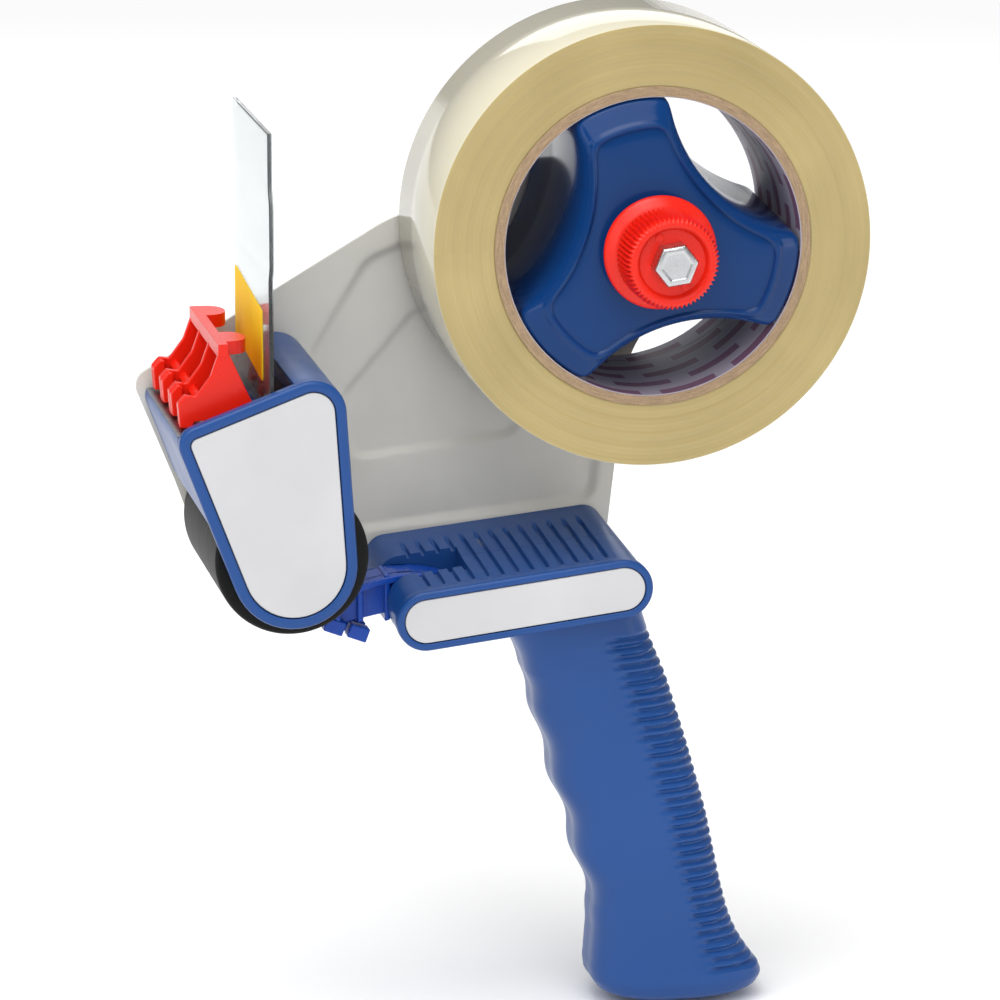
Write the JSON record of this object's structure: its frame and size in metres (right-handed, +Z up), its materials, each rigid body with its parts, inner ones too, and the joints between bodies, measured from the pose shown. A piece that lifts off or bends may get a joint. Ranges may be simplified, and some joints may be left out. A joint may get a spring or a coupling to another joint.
{
  "type": "packing tape dispenser",
  "caption": "Hand-held tape gun: pistol grip, steel side plate, braked roll hub with tape, rubber press roller, serrated blade, clear wiper flap and thumb lever.",
  "frame": {"origin": "centre of the grip, half way up the hand's hold and on the seam between the two handle shells", "axes": "+Z up along the upright dispenser, -X towards the roller and blade, +Y towards the steel side plate; all turning axes run along Y"},
  "size_m": [0.1813, 0.0845, 0.2604],
  "materials": {
    "plate_paint": "satin grey paint on pressed steel sheet",
    "blue_plastic": "injection-moulded blue plastic, semi-gloss",
    "white_panel": "plain white insert, satin",
    "blade_steel": "stamped steel strip with a toothed edge",
    "zinc": "bright zinc plate",
    "roller_rubber": "smooth black rubber",
    "natural_plastic": "natural plastic",
    "spring_steel": "drawn spring wire and stamped clip",
    "clear_flap": "clear flexible plastic sheet",
    "yellow_label": "blank yellow sticker",
    "yellow_zinc": "yellow passivated spring wire",
    "red_plastic": "injection-moulded red plastic",
    "lever_plastic": "injection-moulded bright blue plastic",
    "hub_plastic": "injection-moulded glossy blue plastic",
    "bronze": "sintered bronze",
    "fibre": "pressed brown fibre washer",
    "tape": "wound clear adhesive tape seen on its cut edges",
    "board": "spiral-wound kraft board",
    "liner_paper": "pale paper lining"
  },
  "bodies": {
    "frame": {"side_plate": "plate_paint", "handle_near_shell": "blue_plastic", "handle_far_shell": "blue_plastic", "handle_panel": "white_panel", "head_housing": "blue_plastic", "head_panel": "white_panel", "blade": "blade_steel", "blade_screws": "zinc", "roller_axle": "zinc", "roller_washers": "natural_plastic", "axle_clip": "spring_steel", "flap_pin": "zinc", "flap_spring": "yellow_zinc", "guide_pin": "zinc", "guide_spring": "yellow_zinc", "lever_pin": "zinc", "lever_spring": "spring_steel", "friction_washer": "fibre", "spindle_washer": "zinc", "spindle_nut": "zinc", "head_screws": "zinc", "handle_screws": "zinc", "shell_screws": "zinc"},
    "roll": {"hub": "hub_plastic", "hub_bush": "bronze", "tape_winding": "tape", "tape_core": "board", "core_liner": "liner_paper"},
    "roller": {"roller_tyre": "roller_rubber", "roller_core": "natural_plastic"},
    "flap": {"wiper_flap": "clear_flap", "flap_label": "yellow_label", "flap_holder": "blue_plastic", "flap_rivets": "zinc"},
    "guide": {"tape_guide": "red_plastic"},
    "lever": {"brake_lever": "lever_plastic"},
    "knob": {"tension_knob": "red_plastic", "spindle_bolt": "zinc", "tension_spring": "spring_steel", "thrust_washer": "zinc"}
  },
  "joints": [
    {"name": "hub_spin", "type": "hinge", "parent": "frame", "child": "roll", "pos_m": [0, 0, 0.151], "axis": [0, 1, 0], "continuous": true},
    {"name": "roller_spin", "type": "hinge", "parent": "frame", "child": "roller", "pos_m": [-0.0938, 0, 0.0763], "axis": [0, 1, 0], "continuous": true},
    {"name": "flap_swing", "type": "hinge", "parent": "frame", "child": "flap", "pos_m": [-0.0985, 0, 0.1002], "axis": [0, 1, 0], "range_deg": [0, 10], "stiffness_Nm_per_rad": 0.05, "springref_deg": -11.46},
    {"name": "guide_swing", "type": "hinge", "parent": "frame", "child": "guide", "pos_m": [-0.1045, 0, 0.1115], "axis": [0, 1, 0], "range_deg": [0, 8], "stiffness_Nm_per_rad": 0.03, "springref_deg": -11.46},
    {"name": "lever_pull", "type": "hinge", "parent": "frame", "child": "lever", "pos_m": [-0.053, 0, 0.058], "axis": [0, 1, 0], "range_deg": [0, 11], "stiffness_Nm_per_rad": 0.03, "springref_deg": -11.46},
    {"name": "knob_turn", "type": "hinge", "parent": "frame", "child": "knob", "pos_m": [0, 0, 0.151], "axis": [0, 1, 0], "range_deg": [-180, 180]}
  ]
}
